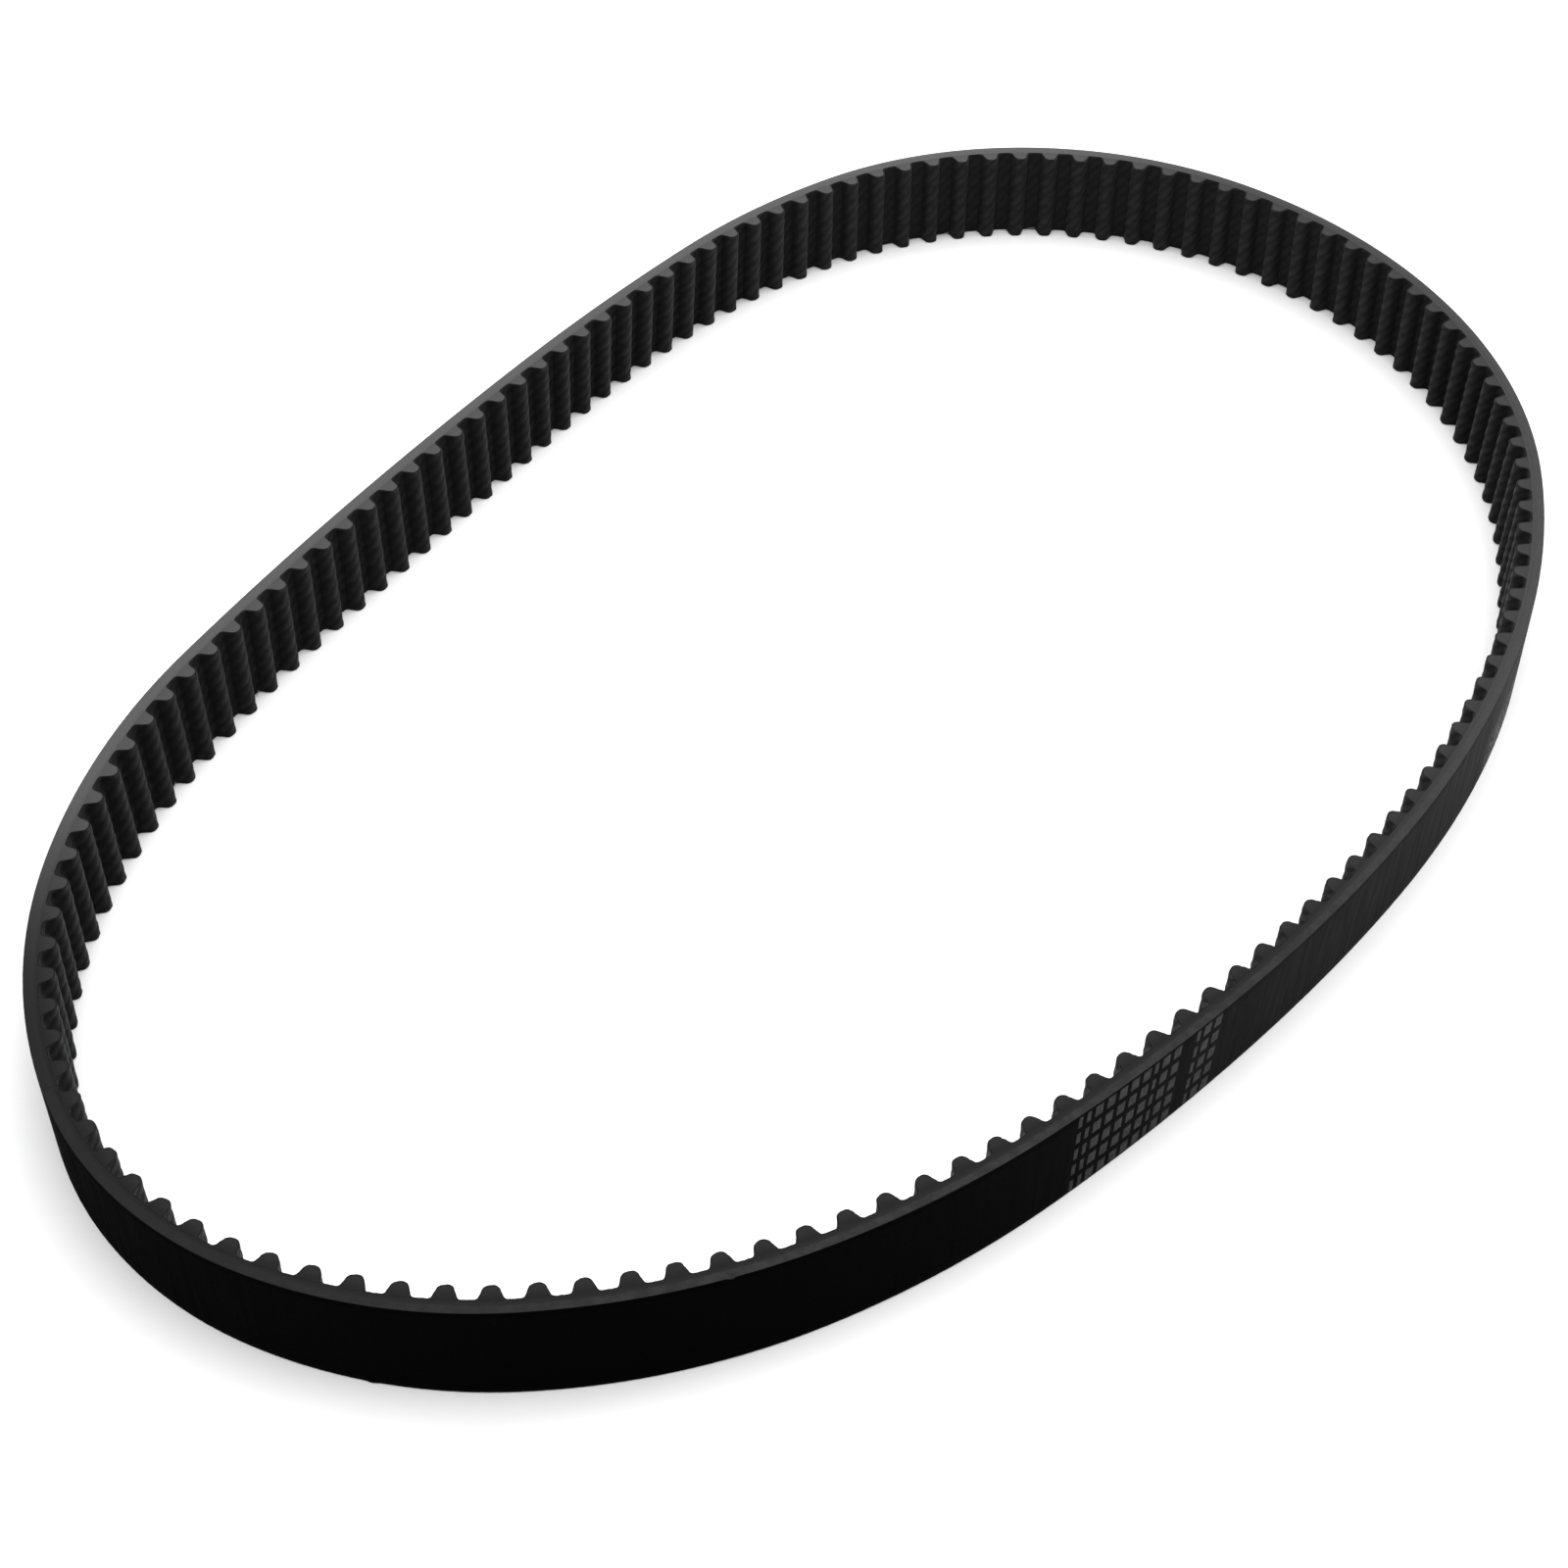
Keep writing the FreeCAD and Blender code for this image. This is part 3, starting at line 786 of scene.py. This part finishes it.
def backing_cut(n, rest, along, depth, grain):
    """Colour of the backing's cut edges, paler outside the cords than inside them, with painted shade
    towards the seam.
    """
    smear = n.noise(rest, 0.8, 4.0, 0.6)
    patches = n.noise(rest, 0.33, 4.0, 0.65)
    level = n.math("ADD", depth, n.math("MULTIPLY", n.math("SUBTRACT", smear, 0.5), 0.9))
    bright = n.mix(n.ramp(patches, 0.35, 0.65), grey(CUT_BRIGHT[0]), grey(CUT_BRIGHT[1]))
    edge = n.mix(n.ramp(level, -0.6, 0.0), bright, grey(CUT_INNER))
    edge = n.mix(n.ramp(grain, 0.35, 0.75, 0.0, 0.5), edge, grey(CUT_GRAIN))
    # painted shade: the cut edges darken towards the seam at both ends
    edge = n.mix(between(n, along, *SHADED_EDGE), edge, grey(CUT_SHADE))
    edge = n.mix(n.ramp(along, *SHADED_NEAR_EDGE, 0.0, 0.8), edge, grey(CUT_SHADE))
    # painted light on the cut edges round the wide bend and along the far side
    return with_painted_edge_light(n, along, edge, 0.6)


def backing_material():
    n = Nodes("backing_rubber")
    rest = n.attribute("rest")
    along, depth, height = n.split(n.attribute("belt"))
    cut = n.attribute("cut", "Fac")
    streaks = n.noise(n.scaled(rest, (1.0, 1.0, 0.04)), 1.1, 5.0, 0.6)
    grain = n.noise(rest, 6.0, 3.0, 0.6)
    face = backing_face(n, rest, along, height, streaks)
    edge = backing_cut(n, rest, along, depth, grain)
    rough = n.math("ADD", n.ramp(streaks, 0.3, 0.7, 0.40, 0.50), n.math("MULTIPLY", cut, 0.12))
    shine = n.math("ADD", n.ramp(along, *SHINE, 0.0002, 0.004), n.math("MULTIPLY", cut, 0.06))
    normal = n.bump(streaks, 0.08, 0.0002)
    normal = n.bump(grain, 0.15, 0.00006, normal)
    return n.set(Base_Color=n.mix(n.ramp(cut, 0.3, 1.0), face, edge), Roughness=rough,
                 Specular_IOR_Level=shine, Normal=normal)


def tooth_material():
    n = Nodes("tooth_rubber")
    rest = n.attribute("rest")
    along, depth, _ = n.split(n.attribute("belt"))
    grain = n.noise(rest, 5.0, 4.0, 0.65)
    cloudy = n.noise(rest, 0.9, 3.0, 0.5)
    level = n.math("ADD", depth, n.math("MULTIPLY", n.math("SUBTRACT", cloudy, 0.5), 1.5))
    colour = n.mix(n.ramp(level, 0.8, 3.4), grey(TOOTH_TONES[0]), grey(TOOTH_TONES[1]))
    colour = n.mix(n.ramp(grain, 0.4, 0.8, 0.0, 0.5), colour, grey(TOOTH_GRAIN))
    # painted light on the teeth's cut edges round the wide bend and along the far side
    colour = with_painted_edge_light(n, along, colour, 0.45)
    normal = n.bump(grain, 0.25, 0.00008)
    return n.set(Base_Color=colour, Roughness=0.62, Specular_IOR_Level=0.06, Normal=normal)


def facing_colour(n, rest, run, depth, fuzz):
    """Colour of the cloth, with painted shade in the valleys of its weave and on the lands between the
    teeth.
    """
    rim = n.attribute("rim", "Fac")
    rib = n.attribute("rib", "Fac")
    uneven = n.noise(rest, 0.45, 4.0, 0.6)
    # painted shade: the lands darker than the tips, and the valleys between the ribs darker than the ribs
    tooth = n.ramp(depth, 1.2, 3.5)
    low = n.mix(tooth, grey(CLOTH_LOW[0]), grey(CLOTH_LOW[1]))
    high = n.mix(tooth, grey(CLOTH_HIGH[0]), grey(CLOTH_HIGH[1]))
    colour = n.mix(n.ramp(rib, 0.25, 0.95), low, high)
    colour = n.mix(n.ramp(uneven, 0.35, 0.7, 0.0, 0.25), colour, grey(CLOTH_UNEVEN))
    # the cloth darker from here on to the seam, most on the tips
    dim_tips = n.math("MULTIPLY", n.ramp(run, *teeth(DARKER_TIPS)), n.ramp(depth, 1.6, 3.6, 0.25, 0.60))
    colour = n.mix(dim_tips, colour, grey(CLOTH_DARK))
    shade = between(n, run, teeth(SHADED_CLOTH[0]), teeth(SHADED_CLOTH[1]))
    dark = n.math("ADD", n.ramp(run, *teeth(DARK_CLOTH), 0.0, 0.45), n.math("MULTIPLY", shade, 0.35))
    colour = n.mix(dark, colour, grey(CLOTH_DARK))
    # the lands paler along this stretch
    pale_stretch = between(n, run, teeth(PALE_LANDS[0]), teeth(PALE_LANDS[1]))
    pale = n.math("MULTIPLY", pale_stretch, n.ramp(depth, 2.6, 1.2, 0.0, 0.65))
    colour = n.mix(pale, colour, grey(CLOTH_PALE))
    colour = n.mix(n.ramp(fuzz, 0.62, 0.75, 0.0, 0.2), colour, grey(CLOTH_FUZZ))
    colour = n.mix(n.ramp(rim, 0.2, 1.0, 0.0, 0.8), colour, grey(CLOTH_RIM))
    return n.mix(n.ramp(rib, 1.5, 1.9), colour, grey(THREAD_TONE))


def facing_material():
    n = Nodes("nylon_facing")
    rest = n.attribute("rest")
    run, depth, height = n.split(n.attribute("belt"))
    threads = n.math("SINE", n.math("MULTIPLY", height, TURN / WARP))
    picks = n.math("SINE", n.math("MULTIPLY", run, TURN * PICKS / RUN))
    weave = n.math("ADD", n.math("MULTIPLY", threads, picks), n.math("MULTIPLY", picks, 0.6))
    fuzz = n.noise(rest, 9.0, 2.0, 0.6)
    colour = facing_colour(n, rest, run, depth, fuzz)
    normal = n.bump(weave, 0.35, 0.00007)
    normal = n.bump(fuzz, 0.3, 0.00006, normal)
    rough = n.ramp(n.attribute("rib", "Fac"), 0.0, 1.0, 0.85, 0.55)
    return n.set(Base_Color=colour, Roughness=rough, Specular_IOR_Level=0.10, Normal=normal,
                 Sheen_Weight=0.02, Sheen_Roughness=0.5)


def cord_material():
    n = Nodes("tensile_cord")
    along, around, _ = n.split(n.attribute("belt"))
    twist = n.math("SINE", n.math("ADD", n.math("MULTIPLY", along, 3.0), n.math("MULTIPLY", around, 2.0)))
    colour = n.mix(n.ramp(twist, -0.6, 0.8), CORD_DARK, CORD_LIGHT)
    return n.set(Base_Color=colour, Roughness=0.6, Normal=n.bump(twist, 0.4, 0.0001))


def ink_material():
    n = Nodes("print_ink")
    rest = n.attribute("rest")
    worn = n.noise(rest, 1.0, 5.0, 0.7)
    speckle = n.noise(rest, 7.0, 2.0, 0.6)
    colour = n.mix(n.ramp(worn, 0.42, 0.56), grey(INK_TONES[0]), grey(INK_TONES[1]))
    colour = n.mix(n.ramp(speckle, 0.48, 0.60, 0.0, 0.7), colour, grey(INK_TONES[0]))
    return n.set(Base_Color=colour, Roughness=0.6, Specular_IOR_Level=0.1,
                 Normal=n.bump(speckle, 0.2, 0.00004))


def floor_material():
    n = Nodes("studio_floor")
    coords = n.tree.nodes.new("ShaderNodeTexCoord").outputs["Object"]
    cloud = n.noise(coords, 3.0, 3.0, 0.5)
    colour = n.mix(cloud, grey(FLOOR_TONES[0]), grey(FLOOR_TONES[1]))
    return n.set(Base_Color=colour, Roughness=0.95, Specular_IOR_Level=0.0)


# ---- Assembly ----

def span_ends():
    """The teeth where one span ends and the next begins."""
    middles = [0]
    for index in range(1, len(STRETCHES) - 1):
        middles.append((STARTS[index] + STARTS[index + 1]) // 2)
    return middles + [TEETH]


def make_belt():
    backing = backing_material()
    rubber = tooth_material()
    cloth = facing_material()
    cord = cord_material()
    ink = ink_material()
    ends = span_ends()
    for index in range(len(STRETCHES) - 1):
        first, last = ends[index], ends[index + 1]
        here, there = STRETCHES[index], STRETCHES[index + 1]
        label = str(index + 1)
        layers = [
            (make_back("belt_back_" + label, first, last, backing), "backing_", "backing_rubber"),
            (make_cords("belt_cords_" + label, first, last, cord), "cords_", "tensile_cord"),
            (make_teeth("belt_teeth_" + label, first, last, rubber), "teeth_", "tooth_rubber"),
            (make_facing("belt_facing_" + label, first, last, cloth), "facing_", "nylon_facing"),
        ]
        for obj, node, slot in layers:
            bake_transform(obj)
            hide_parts(node + here, node + there)
        if there == "near_side_2":
            marks = make_marks("belt_print_bars", ink)
            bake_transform(marks)
            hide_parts("print_marks")


# ---- Studio, in metres ----

FLOOR_SIZE = 3.0
FLOOR_STEPS = 12
FLOOR_TOP = -0.0002

CAMERA_AT = (-0.317917, -0.341374, 0.425716)
CAMERA_HEADING = 45.6434       # degrees
CAMERA_DOWN = 44.1019
CAMERA_ROLL = 2.6517
CAMERA_LENS = 66.0035          # millimetres
CAMERA_SENSOR = 36.0
CAMERA_SHIFT = -0.0625
CAMERA_RANGE = (0.01, 50.0)

SKY = 0.50
LIGHTS = [                     # (name, where, aim, size, watts)
    ("top", (0.0, 0.0, 1.6), (0.0, 0.0, 0.0), 2.2, 42.0),
    ("right", (1.3, -0.30, 0.34), (0.0, 0.03, 0.01), 0.7, 15.0),
    ("behind", (1.3, 1.3, 0.9), (0.05, 0.05, 0.0), 0.9, 9.0),
]


def make_floor():
    mesh = bpy.data.meshes.new("studio_floor")
    bm = bmesh.new()
    bmesh.ops.create_grid(bm, x_segments=FLOOR_STEPS, y_segments=FLOOR_STEPS, size=FLOOR_SIZE)
    bm.to_mesh(mesh)
    bm.free()
    mesh.materials.append(floor_material())
    floor = bpy.data.objects.new("studio_floor", mesh)
    floor.location.z = FLOOR_TOP
    bpy.context.scene.collection.objects.link(floor)


def make_camera():
    data = bpy.data.cameras.new("camera")
    data.lens = CAMERA_LENS
    data.sensor_width = CAMERA_SENSOR
    data.shift_x = CAMERA_SHIFT
    data.clip_start, data.clip_end = CAMERA_RANGE
    obj = bpy.data.objects.new("camera", data)
    heading = math.radians(CAMERA_HEADING)
    down = math.radians(CAMERA_DOWN)
    roll = math.radians(CAMERA_ROLL)
    ahead = Vector((math.cos(down) * math.cos(heading), math.cos(down) * math.sin(heading), -math.sin(down)))
    level = ahead.cross(Vector((0, 0, 1))).normalized()
    upright = level.cross(ahead)
    right = level * math.cos(roll) + upright * math.sin(roll)
    up = upright * math.cos(roll) - level * math.sin(roll)
    turned = Matrix((right, up, -ahead)).transposed().to_4x4()
    obj.matrix_world = Matrix.Translation(CAMERA_AT) @ turned
    bpy.context.scene.collection.objects.link(obj)
    bpy.context.scene.camera = obj


def make_light():
    world = bpy.data.worlds.new("studio")
    world.use_nodes = True
    sky = world.node_tree.nodes["Background"]
    sky.inputs[0].default_value = grey(1.0)
    sky.inputs[1].default_value = SKY
    bpy.context.scene.world = world
    for name, where, aim, size, watts in LIGHTS:
        data = bpy.data.lights.new(name, "AREA")
        data.shape = "SQUARE"
        data.size = size
        data.energy = watts
        obj = bpy.data.objects.new(name, data)
        obj.location = where
        obj.rotation_euler = (Vector(aim) - Vector(where)).to_track_quat("-Z", "Y").to_euler()
        bpy.context.scene.collection.objects.link(obj)


make_belt()
make_floor()
make_camera()
make_light()
bpy.context.scene.view_settings.view_transform = "Standard"
bpy.context.view_layer.update()
